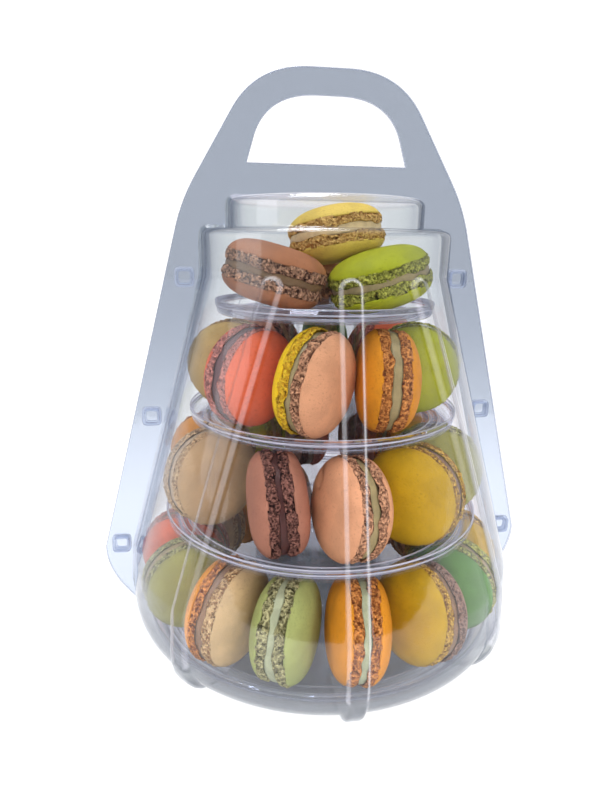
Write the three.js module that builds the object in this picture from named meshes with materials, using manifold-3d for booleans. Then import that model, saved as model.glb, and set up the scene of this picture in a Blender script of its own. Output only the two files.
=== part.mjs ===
// A carry-home macaron tower: four clear trays stacked on their own hollow columns, full of macarons,
// shut inside a clear two-part carrier whose flat flanges snap together and rise into a handle.
// Millimetres, +Z up, the front of the carrier towards -Y, the origin on the table under the middle.
import * as THREE from "three";
import { mergeVertices } from "three/addons/utils/BufferGeometryUtils.js";
import Module from "manifold-3d";

// Carrier: a round base, a conical wall, an upright head and a low cap over the top macaron.
const SHEET = 0.7;
const GAP = 0.3;
const RIB_DEPTH = 2.4;
const FLOOR_HEIGHT = RIB_DEPTH;
const BASE_RADIUS = 88.2;
const BASE_FILLET = 22;
const CONE_FOOT = { radius: 87.2, height: 42 };
const HEAD_RADIUS = 53.2;
const HEAD_FOOT_HEIGHT = 167;
const HEAD_HEIGHT = 186;
const CAP_RADIUS = 41.7;
const CAP_HEIGHT = 198.5;
const TOP_FILLET = 3;
const FILLET_STEPS = 4;
const TOP_FILLET_STEPS = 2;
const AROUND_CARRIER = 32;

// Ribs: round-topped channels that run down the wall and under the floor, where they are the feet. Each is
// given by its angles at the foot and at the top of the cone.
const RIB_WIDTH = 8.7;
const RIB_TOP_HEIGHT = 168.5;
const RIBS = [
  { foot: -47, top: -31 },
  { foot: 0, top: 0 },
  { foot: 47, top: 31 },
];
const RIB_INNER_REACH = 50;
const RIB_OUTER_REACH = 100;
const RIB_ARCH_STEPS = 3;

// Flange: flat, half its outline given from the wall's foot up to the middle of the handle.
const FLANGE_FOOT = { x: 87, z: 12 };
const FLANGE_CORNER = { x: 101.8, z: 27 };
const FLANGE_WIDEST = { x: 101.2, z: 41.5 };
const SHOULDER_FOOT = { x: 64, z: 187 };
const SHOULDER_BEND = { x: 61, z: 198 };
const SHOULDER_TOP = { x: 54.9, z: 208 };
const HANDLE_SIDE = { x: 40.1, z: 233 };
const HANDLE_CORNER = { x: 30, z: 250 };
const HANDLE_TOP = { x: 8, z: 250 };
const HOLE_FOOT = { x: 34, z: 212.7 };
const HOLE_SIDE = { x: 30.8, z: 223.5 };
const HOLE_CORNER = { x: 25.5, z: 239.3 };
const HOLE_TOP = { x: 5, z: 239.3 };
const OUTLINE_STEPS = 5;

// Snap buttons: rounded squares on the flange; the back ones sit inside the hollow front ones.
const BUTTON_WIDTH = 8.4;
const BUTTON_CORNER = 2.2;
const BUTTON_HEIGHT = 3;
const BUTTON_CORNER_STEPS = 1;
const BUTTONS = [
  { x: 60.9, z: 165.9 },
  { x: 77.3, z: 104.6 },
  { x: 93.8, z: 43 },
];

// Trays: a flat floor with an upright lip, and a hollow column that carries the tray above.
const TRAY_SHEET = 1;
const LIP_HEIGHT = 5;
const LOW_RIM_HEIGHT = 17.3;
const TIER_STEP = 46.5;
const COLUMN_DRAFT = 1.4;
const KNOB_HEIGHT = 5.5;
const AROUND_TRAY = 20;
const TRAYS = [
  { name: "low", rim: 81.6, column: 31 },
  { name: "second", rim: 72.4, column: 22 },
  { name: "third", rim: 60.4, column: 16.6 },
  { name: "top", rim: 48.3, column: 5 },
];

// Macarons: two domed shells on ruffled feet, with the filling set back between them.
const MACARON_RADIUS = 21.2;
const MACARON_HALF_HEIGHT = 12;
const AROUND_MACARON = 12;
const FOOT_RELIEF = 0.9;
const SIZE_SPREAD = 0.02;
const FILLING_SHARE = 0.93;
const PLACES_A_TIER = 20;
// One shell's outline from the middle of its dome to its foot, as shares of radius and half height.
const SHELL_OUTLINE = [
  [0, 1],
  [0.48, 0.935],
  [0.81, 0.72],
  [0.965, 0.44],
  [1, 0.22],
];

// Seats, in degrees: where on the ring from the front towards +X, how far the macaron is turned from
// standing square across the ring, and how far its axis tips up. Those not listed are spread evenly
// over the rest of the ring.
const RING_SEATS = {
  low: {
    count: 14,
    seats: [
      [-70, -8, -3],
      [-44, 8.5, -4.5],
      [-20.5, -5, 0],
      [4, -8, -4],
      [30.5, -6, -8],
      [55, -2, 5],
    ],
  },
  second: {
    count: 10,
    seats: [
      [-74, 17, 3],
      [-28.5, 30, 5],
      [3, 12, -5],
      [36.5, 11, -3],
    ],
  },
  third: {
    count: 8,
    seats: [
      [-56, 7, -4],
      [-14, -23.5, -7],
      [29.5, -33, -2],
      [78.5, -8, 0],
    ],
  },
};
const SPARE_TURN = 6;
const SPARE_TIP = 4;
const WALL_CLEARANCE = 0.7;

// The top tray's macarons lie down: centre, then how far and towards which side the axis leans.
const LYING_SEATS = [
  { centre: [-24.3, -19.5, 168], lean: 16, towards: 86 },
  { centre: [18.8, -22.6, 166.8], lean: 15.5, towards: -90 },
  { centre: [-1, 29.8, 165], lean: 8.5, towards: 0 },
  { centre: [4.5, 0, 184.3], lean: 13, towards: -128 },
];

const PLASTIC_COLOUR = 0xe6ebf3;
const SHELL_COLOURS = {
  low: [
    0xb5b45c, 0xd9bd8d, 0xa9b368, 0xe0902f, 0xd3ab2b, 0x6f9a58, 0xd8b437, 0xc98f7d, 0xb06a5a, 0xa9b368,
    0xe0b48c, 0xd9a13a, 0xc2604f, 0xcf5c4c,
  ],
  second: [
    0xdcb98e, 0x9a6a5c, 0xdba079, 0xd9b01f, 0x9ea24f, 0xd98f3a, 0x8a5a4a, 0x7d4f42, 0xb9b447, 0xd9a23c,
  ],
  third: [0xd9614e, 0xdfa27c, 0xe39a3f, 0xa9b92c, 0xd9836b, 0x8fae3c, 0x8a5a4a, 0xcdb26a],
  top: [0xb27f63, 0xa9c32f, 0xc98f7d, 0xdfc04c],
};

const wasm = await Module();
wasm.setup();
const WELD = 1e-4;
const FAR = 400;

const radians = THREE.MathUtils.degToRad;
const fraction = (value) => value - Math.floor(value);

// A repeatable number from 0 to 1 for each place and purpose.
function chance(place, purpose) {
  return fraction(Math.sin(place * 12.9898 + purpose * 78.233) * 43758.5453);
}

// A closed three.js geometry as a solid that can be joined and cut.
function solid(geometry) {
  const bare = geometry.clone();
  bare.deleteAttribute("normal");
  bare.deleteAttribute("uv");
  const welded = mergeVertices(bare, WELD);
  const corners = welded.index.array;
  const triangles = [];
  for (let i = 0; i < corners.length; i += 3) {
    const [a, b, c] = corners.slice(i, i + 3);
    if (a !== b && b !== c && c !== a) triangles.push(a, b, c);
  }
  return new wasm.Manifold(
    new wasm.Mesh({
      numProp: 3,
      vertProperties: welded.attributes.position.array,
      triVerts: new Uint32Array(triangles),
    }),
  );
}

function geometryOf(body) {
  const made = body.getMesh();
  const geometry = new THREE.BufferGeometry();
  geometry.setAttribute("position", new THREE.BufferAttribute(made.vertProperties, 3));
  geometry.setIndex(new THREE.BufferAttribute(made.triVerts, 1));
  geometry.computeVertexNormals();
  return geometry;
}

// A profile of [radius, height] pairs turned about Z.
function turnedGeometry(profile, around) {
  const points = profile.map(([radius, height]) => new THREE.Vector2(radius, height));
  return new THREE.LatheGeometry(points, around).rotateX(Math.PI / 2);
}

// A flat outline in X and Z, given thickness along Y between two depths.
function plateGeometry(shape, front, back, curveSegments = OUTLINE_STEPS) {
  const extruded = { depth: back - front, bevelEnabled: false, curveSegments };
  return new THREE.ExtrudeGeometry(shape, extruded).rotateX(Math.PI / 2).translate(0, back, 0);
}

function arc(centreRadius, centreHeight, radius, from, to, steps) {
  const points = [];
  for (let i = 0; i <= steps; i++) {
    const angle = radians(from + ((to - from) * i) / steps);
    points.push([centreRadius + radius * Math.cos(angle), centreHeight + radius * Math.sin(angle)]);
  }
  return points;
}

// The outside of the carrier, from the middle of the floor up to the middle of the cap.
function carrierProfile() {
  const filletCentre = BASE_RADIUS - BASE_FILLET;
  return [
    [0, FLOOR_HEIGHT],
    ...arc(filletCentre, FLOOR_HEIGHT + BASE_FILLET, BASE_FILLET, -90, 0, FILLET_STEPS),
    [CONE_FOOT.radius, CONE_FOOT.height],
    [HEAD_RADIUS, HEAD_FOOT_HEIGHT],
    ...arc(HEAD_RADIUS - TOP_FILLET, HEAD_HEIGHT - TOP_FILLET, TOP_FILLET, 0, 90, TOP_FILLET_STEPS),
    [CAP_RADIUS, HEAD_HEIGHT],
    ...arc(CAP_RADIUS - TOP_FILLET, CAP_HEIGHT - TOP_FILLET, TOP_FILLET, 0, 90, TOP_FILLET_STEPS),
    [0, CAP_HEIGHT],
  ];
}

// The same profile moved outwards everywhere by a distance, each corner along its bisector.
function movedOut(profile, distance) {
  const normal = (a, b) => {
    const length = Math.hypot(b[0] - a[0], b[1] - a[1]);
    return [(b[1] - a[1]) / length, (a[0] - b[0]) / length];
  };
  return profile.map((point, i) => {
    const before = normal(profile[Math.max(i - 1, 0)], profile[Math.max(i, 1)]);
    const last = profile.length - 1;
    const after = normal(profile[Math.min(i, last - 1)], profile[Math.min(i + 1, last)]);
    const spread = 1 + before[0] * after[0] + before[1] * after[1];
    const along = [(before[0] + after[0]) / spread, (before[1] + after[1]) / spread];
    return [Math.max(point[0] + along[0] * distance, 0), point[1] + along[1] * distance];
  });
}

const OUTSIDE = carrierProfile();

// Radius of the carrier's outside at a height on its base, cone or head.
function wallRadius(height) {
  const wall = OUTSIDE.slice(1 + FILLET_STEPS);
  const upper = wall.findIndex((point) => point[1] > height);
  const [low, high] = [wall[upper - 1], wall[upper]];
  const share = (height - low[1]) / (high[1] - low[1]);
  return low[0] + (high[0] - low[0]) * share;
}

function carrierSolid(distance) {
  return solid(turnedGeometry(movedOut(OUTSIDE, distance), AROUND_CARRIER));
}

// A wide upright block that holds everything in front of a depth.
function inFrontOf(depth) {
  return solid(new THREE.BoxGeometry(FAR, FAR, 2 * FAR).translate(0, depth - FAR / 2, 0));
}

// A round-topped prism that stands across the wall where a rib runs, narrowed by an inset. It is upright on
// the base and leans on the cone.
function ribPrism({ foot, top }, inset) {
  const middle = (foot + top) / 2;
  const low = CONE_FOOT.radius * Math.sin(radians(foot - middle));
  const high = HEAD_RADIUS * Math.sin(radians(top - middle));
  const half = RIB_WIDTH / 2 - inset;
  const springing = RIB_TOP_HEIGHT - RIB_WIDTH / 2;
  const shape = new THREE.Shape();
  shape.moveTo(low - half, -RIB_DEPTH);
  shape.lineTo(low + half, -RIB_DEPTH);
  shape.lineTo(low + half, CONE_FOOT.height);
  shape.lineTo(high + half, springing);
  shape.absarc(high, springing, half, 0, Math.PI, false);
  shape.lineTo(low - half, CONE_FOOT.height);
  shape.closePath();
  const inner = -RIB_INNER_REACH - inset;
  const upright = plateGeometry(shape, -RIB_OUTER_REACH, inner, RIB_ARCH_STEPS);
  return solid(upright.rotateZ(radians(middle)));
}

// The ribs' outer form, or with an inset the hollow that runs along inside them.
function ribs(inset) {
  const swollen = carrierSolid(RIB_DEPTH - inset);
  return RIBS.map((rib) => ribPrism(rib, inset).intersect(swollen));
}

function roundedSquare(centre, width, corner) {
  const half = width / 2;
  const shape = new THREE.Shape();
  shape.moveTo(centre.x - half + corner, centre.z - half);
  shape.lineTo(centre.x + half - corner, centre.z - half);
  shape.quadraticCurveTo(centre.x + half, centre.z - half, centre.x + half, centre.z - half + corner);
  shape.lineTo(centre.x + half, centre.z + half - corner);
  shape.quadraticCurveTo(centre.x + half, centre.z + half, centre.x + half - corner, centre.z + half);
  shape.lineTo(centre.x - half + corner, centre.z + half);
  shape.quadraticCurveTo(centre.x - half, centre.z + half, centre.x - half, centre.z + half - corner);
  shape.lineTo(centre.x - half, centre.z - half + corner);
  shape.quadraticCurveTo(centre.x - half, centre.z - half, centre.x - half + corner, centre.z - half);
  return shape;
}

// The snap buttons of both sides, between two depths, narrowed by an inset.
function buttons(inset, front, back) {
  const bodies = [];
  for (const side of [-1, 1]) {
    for (const { x, z } of BUTTONS) {
      const shape = roundedSquare({ x: side * x, z }, BUTTON_WIDTH - 2 * inset, BUTTON_CORNER - inset);
      bodies.push(solid(plateGeometry(shape, front, back, BUTTON_CORNER_STEPS)));
    }
  }
  return bodies;
}

function handleHole() {
  const hole = new THREE.Path();
  hole.moveTo(-HOLE_FOOT.x, HOLE_FOOT.z);
  hole.lineTo(HOLE_FOOT.x, HOLE_FOOT.z);
  hole.lineTo(HOLE_SIDE.x, HOLE_SIDE.z);
  hole.quadraticCurveTo(HOLE_CORNER.x, HOLE_CORNER.z, HOLE_TOP.x, HOLE_TOP.z);
  hole.lineTo(-HOLE_TOP.x, HOLE_TOP.z);
  hole.quadraticCurveTo(-HOLE_CORNER.x, HOLE_CORNER.z, -HOLE_SIDE.x, HOLE_SIDE.z);
  hole.closePath();
  return hole;
}

function flangeShape() {
  const shape = new THREE.Shape();
  shape.moveTo(-FLANGE_FOOT.x, FLANGE_FOOT.z);
  shape.lineTo(FLANGE_FOOT.x, FLANGE_FOOT.z);
  shape.quadraticCurveTo(FLANGE_CORNER.x, FLANGE_CORNER.z, FLANGE_WIDEST.x, FLANGE_WIDEST.z);
  shape.lineTo(SHOULDER_FOOT.x, SHOULDER_FOOT.z);
  shape.quadraticCurveTo(SHOULDER_BEND.x, SHOULDER_BEND.z, SHOULDER_TOP.x, SHOULDER_TOP.z);
  shape.lineTo(HANDLE_SIDE.x, HANDLE_SIDE.z);
  shape.quadraticCurveTo(HANDLE_CORNER.x, HANDLE_CORNER.z, HANDLE_TOP.x, HANDLE_TOP.z);
  shape.lineTo(-HANDLE_TOP.x, HANDLE_TOP.z);
  shape.quadraticCurveTo(-HANDLE_CORNER.x, HANDLE_CORNER.z, -HANDLE_SIDE.x, HANDLE_SIDE.z);
  shape.lineTo(-SHOULDER_TOP.x, SHOULDER_TOP.z);
  shape.quadraticCurveTo(-SHOULDER_BEND.x, SHOULDER_BEND.z, -SHOULDER_FOOT.x, SHOULDER_FOOT.z);
  shape.lineTo(-FLANGE_WIDEST.x, FLANGE_WIDEST.z);
  shape.quadraticCurveTo(-FLANGE_CORNER.x, FLANGE_CORNER.z, -FLANGE_FOOT.x, FLANGE_FOOT.z);
  shape.holes.push(handleHole());
  return shape;
}

const joined = (bodies) => bodies.reduce((whole, body) => whole.add(body));

// Half a carrier without its buttons: shell, ribs and flange, hollow inside and open at the seam.
function halfCarrier() {
  const seam = -GAP / 2;
  const shell = joined([carrierSolid(0), ...ribs(0)]).intersect(inFrontOf(seam));
  const hollow = joined([carrierSolid(-SHEET), ...ribs(SHEET)]);
  const flange = solid(plateGeometry(flangeShape(), seam - SHEET, seam));
  return shell.add(flange).subtract(hollow);
}

// The front half's buttons stand forward and are hollow from behind.
function carrierFront() {
  const seam = -GAP / 2;
  const domes = buttons(0, seam - BUTTON_HEIGHT, seam - SHEET / 2);
  const hollows = buttons(SHEET, seam - BUTTON_HEIGHT + SHEET, seam + SHEET);
  return joined([halfCarrier(), ...domes]).subtract(joined(hollows));
}

// The back half is the same form turned round, and its buttons reach forward into the front ones.
function carrierBack() {
  const seam = GAP / 2;
  const nested = SHEET + GAP;
  const tip = -GAP / 2 - BUTTON_HEIGHT + nested;
  const domes = buttons(nested, tip, seam + SHEET / 2);
  const hollows = buttons(nested + SHEET, tip + SHEET, seam + 2 * SHEET);
  const turnedHalf = solid(geometryOf(halfCarrier()).rotateZ(Math.PI));
  return joined([turnedHalf, ...domes]).subtract(joined(hollows));
}

const rimHeight = (tier) => LOW_RIM_HEIGHT + TIER_STEP * tier;
const floorHeight = (tier) => rimHeight(tier) - LIP_HEIGHT;

// One tray as a thin turned sheet: lip, floor and the column up to the tray above, or the top knob.
function trayGeometry(tier) {
  const { rim, column } = TRAYS[tier];
  const floor = floorHeight(tier);
  const isTop = tier === TRAYS.length - 1;
  const columnTop = isTop ? floor + KNOB_HEIGHT : floorHeight(tier + 1) - TRAY_SHEET - GAP;
  const profile = [
    [0, columnTop - TRAY_SHEET],
    [column - COLUMN_DRAFT - TRAY_SHEET, columnTop - TRAY_SHEET],
    [column - TRAY_SHEET, floor - TRAY_SHEET],
    [rim, floor - TRAY_SHEET],
    [rim, rimHeight(tier)],
    [rim - TRAY_SHEET, rimHeight(tier)],
    [rim - TRAY_SHEET, floor],
    [column, floor],
    [column - COLUMN_DRAFT, columnTop],
    [0, columnTop],
  ];
  return turnedGeometry(profile, AROUND_TRAY);
}

// A macaron with its axis along X; the foot rows are uneven, differently on each one.
function macaronGeometry(place, radius) {
  const upper = SHELL_OUTLINE.map(([r, h]) => new THREE.Vector2(r * radius, h * MACARON_HALF_HEIGHT));
  const lower = upper.map((point) => new THREE.Vector2(point.x, -point.y));
  const filling = new THREE.Vector2(FILLING_SHARE * radius, 0);
  const profile = [...lower, filling, ...upper.reverse()];
  const geometry = new THREE.LatheGeometry(profile, AROUND_MACARON);
  const spots = geometry.attributes.position;
  const footRows = [lower.length - 1, lower.length + 1];
  for (let i = 0; i < spots.count; i++) {
    const row = i % profile.length;
    if (!footRows.includes(row)) continue;
    const step = Math.floor(i / profile.length) % AROUND_MACARON;
    const bulge = 1 - (chance(place + step, row) * FOOT_RELIEF) / radius;
    spots.setX(i, spots.getX(i) * bulge);
    spots.setZ(i, spots.getZ(i) * bulge);
  }
  return geometry.rotateZ(-Math.PI / 2);
}

function clearPlastic() {
  return new THREE.MeshStandardMaterial({
    color: PLASTIC_COLOUR,
    roughness: 0.08,
    metalness: 0,
    transparent: true,
    opacity: 0.3,
  });
}

function namedMesh(name, geometry, material) {
  const mesh = new THREE.Mesh(geometry, material);
  mesh.name = name;
  return mesh;
}

// The macaron at a place on a tier, counted from one in its name.
function macaronMesh(tier, index, radius) {
  const tierName = TRAYS[tier].name;
  const colour = SHELL_COLOURS[tierName][index];
  const material = new THREE.MeshStandardMaterial({ color: colour, roughness: 0.62, metalness: 0 });
  const name = `macaron_${tierName}_${String(index + 1).padStart(2, "0")}`;
  return namedMesh(name, macaronGeometry(PLACES_A_TIER * tier + index, radius), material);
}

function sizeAt(place) {
  return MACARON_RADIUS * (1 + SIZE_SPREAD * (2 * chance(place, 1) - 1));
}

// The listed seats, then the spare ones spread over the rest of the ring with small turns and tips.
function allSeats({ count, seats }) {
  const spare = count - seats.length;
  const last = seats[seats.length - 1][0];
  const step = (seats[0][0] + 360 - last) / (spare + 1);
  const spares = Array.from({ length: spare }, (unused, i) => [
    last + step * (i + 1),
    SPARE_TURN * (2 * chance(i, count) - 1),
    SPARE_TIP * (2 * chance(i, count + 1) - 1),
  ]);
  return [...seats, ...spares];
}

// A ring of macarons standing on edge, each resting on the tray's floor and close to the wall.
function ringOfMacarons(tier) {
  const slope = (CONE_FOOT.radius - HEAD_RADIUS) / (HEAD_FOOT_HEIGHT - CONE_FOOT.height);
  const ring = new THREE.Group();
  allSeats(RING_SEATS[TRAYS[tier].name]).forEach(([at, turn, tip], index) => {
    const radius = sizeAt(PLACES_A_TIER * tier + index);
    const height = floorHeight(tier) + GAP + radius;
    const lean = height > CONE_FOOT.height ? Math.hypot(1, slope) : 1;
    const reach = wallRadius(height) - SHEET - WALL_CLEARANCE - radius * lean;
    const seat = new THREE.Group();
    seat.rotation.z = radians(at);
    const mesh = macaronMesh(tier, index, radius);
    mesh.position.set(0, -reach, height);
    mesh.rotation.set(0, -radians(tip), radians(turn), "ZYX");
    seat.add(mesh);
    ring.add(seat);
  });
  return ring;
}

// The top tray's macarons, lying on its floor and on each other.
function lyingMacarons(tier) {
  const heap = new THREE.Group();
  LYING_SEATS.forEach(({ centre, lean, towards }, index) => {
    const mesh = macaronMesh(tier, index, MACARON_RADIUS);
    const side = radians(towards);
    const out = Math.sin(radians(lean));
    const axis = new THREE.Vector3(out * Math.sin(side), -out * Math.cos(side), Math.cos(radians(lean)));
    mesh.position.set(...centre);
    mesh.quaternion.setFromUnitVectors(new THREE.Vector3(1, 0, 0), axis);
    heap.add(mesh);
  });
  return heap;
}

const tower = new THREE.Group();
tower.add(namedMesh("carrier_front", geometryOf(carrierFront()), clearPlastic()));
tower.add(namedMesh("carrier_back", geometryOf(carrierBack()), clearPlastic()));
TRAYS.forEach(({ name }, tier) => {
  tower.add(namedMesh(`tray_${name}`, trayGeometry(tier), clearPlastic()));
  tower.add(name in RING_SEATS ? ringOfMacarons(tier) : lyingMacarons(tier));
});

export default tower;
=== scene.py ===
# %% [markdown]
# # A macaron tower in its clear carrier
# The real thing is a tower to carry home: four clear trays stand on each other's hollow columns,
# macarons stand on edge round the columns, and a thin clear carrier of two snapped halves shuts round
# them all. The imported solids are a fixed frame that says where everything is. Here each solid is
# replaced by a finer piece of the same form in the same place, in metres, and every surface gets its
# finish.

# %% Load the frame
import itertools
import math

import bmesh
import bpy
import numpy as np
from mathutils import Matrix, Vector


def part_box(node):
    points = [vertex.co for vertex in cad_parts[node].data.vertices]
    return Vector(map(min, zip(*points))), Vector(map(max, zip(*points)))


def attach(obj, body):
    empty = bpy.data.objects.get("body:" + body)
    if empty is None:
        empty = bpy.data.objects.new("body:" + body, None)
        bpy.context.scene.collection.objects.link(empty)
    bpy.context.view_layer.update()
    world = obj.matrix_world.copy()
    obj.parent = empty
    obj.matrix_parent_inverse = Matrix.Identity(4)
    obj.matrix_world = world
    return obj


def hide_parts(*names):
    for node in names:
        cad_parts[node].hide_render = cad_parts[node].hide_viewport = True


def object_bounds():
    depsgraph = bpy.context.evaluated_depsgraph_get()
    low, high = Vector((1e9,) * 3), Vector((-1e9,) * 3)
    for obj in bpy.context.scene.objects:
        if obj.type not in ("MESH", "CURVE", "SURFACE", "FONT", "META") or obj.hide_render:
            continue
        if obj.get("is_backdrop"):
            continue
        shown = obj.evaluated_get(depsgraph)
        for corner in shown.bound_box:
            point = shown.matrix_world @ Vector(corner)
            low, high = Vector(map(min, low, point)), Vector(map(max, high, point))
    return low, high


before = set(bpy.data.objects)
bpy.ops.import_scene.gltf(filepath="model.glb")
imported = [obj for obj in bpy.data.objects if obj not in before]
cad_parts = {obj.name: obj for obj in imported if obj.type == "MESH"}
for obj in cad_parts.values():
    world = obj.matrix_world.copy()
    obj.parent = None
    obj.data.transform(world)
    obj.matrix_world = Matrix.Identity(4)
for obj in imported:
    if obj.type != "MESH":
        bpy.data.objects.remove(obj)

MM = 0.001
cad_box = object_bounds()


def in_mm(lengths):
    """Lengths in metres as rounded millimetres, to print."""
    return [round(length / MM, 1) for length in lengths]


print("CAD box in mm:", [in_mm(corner) for corner in cad_box])

# %% [markdown]
# ## The camera
# The camera comes first, because every later choice is judged through it. It stands in front of the
# carrier, a little to the left and above the middle tray, and looks slightly down. A lens is set in
# millimetres on a sensor, but a photograph gives its focal length in pixels, so the one is worked out
# from the other. The turns are multiplied as matrices in the order in which a photographer makes them:
# turn, tilt, then the small roll of the hand.

# %% Camera
IMAGE_HEIGHT = 800
FOCAL_PIXELS = 600
SENSOR_SIDE = 36.0
CAMERA_REACH = 270.6 * MM
CAMERA_HEIGHT = 179.5 * MM
CAMERA_BEARING = math.radians(10.26)
CAMERA_HEADING = math.radians(8.13)
CAMERA_PITCH = math.radians(14.42)
CAMERA_ROLL = math.radians(0.87)
NEAREST = 5 * MM

scene = bpy.context.scene
camera = bpy.data.objects.new("camera", bpy.data.cameras.new("camera"))
camera.data.sensor_width = SENSOR_SIDE
camera.data.lens = SENSOR_SIDE * FOCAL_PIXELS / IMAGE_HEIGHT
camera.data.clip_start = NEAREST
stand = Vector((-math.sin(CAMERA_BEARING), -math.cos(CAMERA_BEARING), 0)) * CAMERA_REACH
stand.z = CAMERA_HEIGHT
turn = Matrix.Rotation(-CAMERA_HEADING, 4, "Z")
tilt = Matrix.Rotation(math.pi / 2 - CAMERA_PITCH, 4, "X")
roll = Matrix.Rotation(CAMERA_ROLL, 4, "Z")
camera.matrix_world = Matrix.Translation(stand) @ turn @ tilt @ roll
scene.collection.objects.link(camera)
scene.camera = camera
print("camera at", in_mm(stand), "mm, lens", round(camera.data.lens, 1), "mm")

# %% [markdown]
# ## Shader maths in Python
# A finish is a tree of nodes, and long trees are hard to read as lists of links. The class below wraps
# one output socket, so that a mask can be written as an expression: 1 - mask, or 0.3 + 0.2 * clouds.
# Values become Math nodes, colours become Mix nodes and vectors become Vector Math nodes, because a Math
# node would turn a colour grey. Every other node comes from one method, which sets a node's settings
# first and then its sockets, and the nodes that come up again and again have a short method of their
# own.

# %% Wire
DOT_STIR = 0.7
DOT_DRIFT = 1.8
DOT_SPACING = 2.0
DOT_EDGE = (0.55, 0.25)


class Wire:
    """An output socket of a node tree that takes part in arithmetic, or with no socket the bare tree."""

    def __init__(self, tree, socket=None):
        self.tree = tree
        self.socket = socket

    def node(self, kind, settings=None, sockets=None, out=0):
        """Adds a node with its settings, then its sockets' values or links, and gives an output of it."""
        made = self.tree.nodes.new(kind)
        for name, value in (settings or {}).items():
            setattr(made, name, value)
        for name, value in (sockets or {}).items():
            if isinstance(value, Wire):
                self.tree.links.new(value.socket, made.inputs[name])
            else:
                made.inputs[name].default_value = value
        return Wire(self.tree, made.outputs[out] if made.outputs else None)

    def joined(self, operation, first, second):
        kinds = [value.socket.type for value in (first, second) if isinstance(value, Wire)]
        if "RGBA" in kinds:
            settings = {"data_type": "RGBA", "blend_type": operation}
            return self.node("ShaderNodeMix", settings, {0: 1.0, 6: first, 7: second}, 2)
        kind = "ShaderNodeVectorMath" if "VECTOR" in kinds else "ShaderNodeMath"
        return self.node(kind, {"operation": operation}, {0: first, 1: second})

    def __add__(self, other):
        return self.joined("ADD", self, other)

    def __radd__(self, other):
        return self.joined("ADD", other, self)

    def __sub__(self, other):
        return self.joined("SUBTRACT", self, other)

    def __rsub__(self, other):
        return self.joined("SUBTRACT", other, self)

    def __mul__(self, other):
        return self.joined("MULTIPLY", self, other)

    def __rmul__(self, other):
        return self.joined("MULTIPLY", other, self)

    def __pow__(self, power):
        return self.joined("POWER", self, power)

    def step(self, low, high):
        """A soft step from 0 at low to 1 at high."""
        sockets = {"Value": self, "From Min": low, "From Max": high}
        return self.node("ShaderNodeMapRange", {"interpolation_type": "SMOOTHSTEP"}, sockets)

    def mix(self, low, high):
        """The colour low where this mask is 0 and high where it is 1."""
        sockets = {0: self, 6: colour(low), 7: colour(high)}
        return self.node("ShaderNodeMix", {"data_type": "RGBA"}, sockets, 2)

    def blend(self, low, high):
        """The shader low where this mask is 0 and high where it is 1."""
        return self.node("ShaderNodeMixShader", sockets={0: self, 1: low, 2: high})

    def bump(self, strength, distance):
        """This height as relief, for a Normal socket."""
        sockets = {"Height": self, "Strength": strength, "Distance": distance}
        return self.node("ShaderNodeBump", sockets=sockets)

    def place(self):
        """The object's own coordinates."""
        return self.node("ShaderNodeTexCoord", out="Object")

    def slant(self):
        """0 where the eye meets the surface face on, and 1 where it looks along it."""
        return self.node("ShaderNodeLayerWeight", sockets={"Blend": 0.5}, out="Facing")

    def noise(self, width, detail=2.0, out=0):
        """Clouds on the object's own coordinates, about as wide as given in metres."""
        sockets = {"Vector": self.place(), "Scale": 1 / width, "Detail": detail}
        return self.node("ShaderNodeTexNoise", sockets=sockets, out=out)

    def dots(self, width):
        """Uneven spots, 1 in their middles, about as wide as given in metres and twice as far apart."""
        stir = self.noise(width / DOT_STIR, out="Color")
        sockets = {0: stir, 1: (DOT_DRIFT * width,) * 3, 2: self.place()}
        stirred = self.node("ShaderNodeVectorMath", {"operation": "MULTIPLY_ADD"}, sockets)
        sockets = {"Vector": stirred, "Scale": 1 / (DOT_SPACING * width)}
        return self.node("ShaderNodeTexVoronoi", sockets=sockets, out="Distance").step(*DOT_EDGE)

    def surface(self, sockets):
        """A surface of Blender's general shader."""
        return self.node("ShaderNodeBsdfPrincipled", sockets=sockets)

    def tinted(self, tone):
        """A clear surface that only tints what is behind it."""
        return self.node("ShaderNodeBsdfTransparent", sockets={"Color": colour(tone)})


def colour(value):
    """A colour as a socket takes it, with its alpha."""
    return value if isinstance(value, Wire) else (*value[:3], 1.0)


def new_finish(name):
    """A new material's bare tree, and the material."""
    material = bpy.data.materials.new(name)
    material.use_nodes = True
    material.node_tree.nodes.clear()
    return Wire(material.node_tree), material


def show(shader, kind="ShaderNodeOutputMaterial"):
    shader.node(kind, sockets={"Surface": shader})


print("shader maths ready")

# %% [markdown]
# ## The studio
# Product pictures of clear plastic need a white room with one dark side, because plastic only shows by
# what it mirrors. White walls left, right and behind lay pale veils on the slanting edges of the
# carrier, and the dark side behind the camera keeps its front clear, so that the colours inside stay
# strong. For the same reason the floor ends a little in front of the tower. The floor is a light table:
# its glow paints out the shadow that the tower would cast around it, so hardly any shadow shows, and a
# weaker glow under the tower is a painted shadow that makes its base look grey. Each lamp has one task:
# the soft boxes light the food and aren't mirrored, while the window and the gleam are only mirrored,
# as the veil on the carrier's left and the highlights along its top edges.
# The plain Standard view keeps white white, where a filmic view would turn it grey.

# %% Floor and sky
FLOOR_SIDE = 6.0
FLOOR_FRONT = -0.36
FLOOR_WHITE = (0.24, 0.24, 0.242)
FLOOR_SHADE = (0.22, 0.22, 0.224)
FLOOR_GRAIN = 12 * MM
GLOW_WHITE = (0.94, 0.94, 0.945)
GLOW_PAINTED_SHADOW = (0.22, 0.226, 0.24)
GLOW_START, GLOW_FULL = 56 * MM, 67 * MM
BACKDROP_WHITE = (1.17, 1.17, 1.17)
WALL_WHITE = (0.8, 0.81, 0.83)
DARK_SIDE = (0.05, 0.052, 0.06)
DARK_EDGE = (-0.8, -0.15)

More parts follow.
